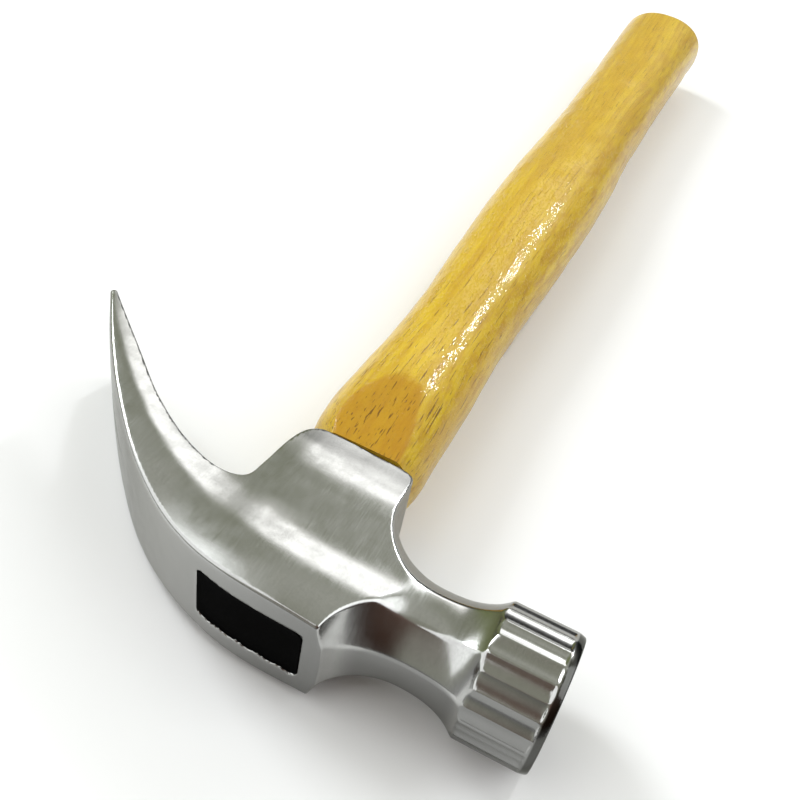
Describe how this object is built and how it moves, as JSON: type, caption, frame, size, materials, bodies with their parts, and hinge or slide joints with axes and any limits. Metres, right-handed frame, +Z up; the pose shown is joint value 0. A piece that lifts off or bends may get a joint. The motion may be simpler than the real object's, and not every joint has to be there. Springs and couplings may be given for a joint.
{
  "type": "claw hammer",
  "caption": "Curved claw hammer lying on its side: a forged steel head with a fluted round poll, octagonal neck and V-slotted claw, wedged onto a lacquered wooden handle.",
  "frame": {"origin": "bottom centre of the bounding box of the hammer lying flat on its side", "axes": "+X along the handle towards the butt, +Y towards the claw tips with the striking face at -Y, +Z up out of the upper cheek"},
  "size_m": [0.3162, 0.126, 0.0292],
  "materials": {
    "satin_steel": "satin, hand ground, clear coated",
    "lacquered_wood": "clear gloss lacquer",
    "raw_wood": "bare",
    "wedge_steel": "as rolled",
    "black_resin": "matt"
  },
  "bodies": {
    "root": {"head": "satin_steel", "handle": "lacquered_wood", "wood_wedge": "raw_wood", "steel_wedge_poll": "wedge_steel", "steel_wedge_claw": "wedge_steel", "eye_seal": "black_resin"}
  },
  "joints": []
}
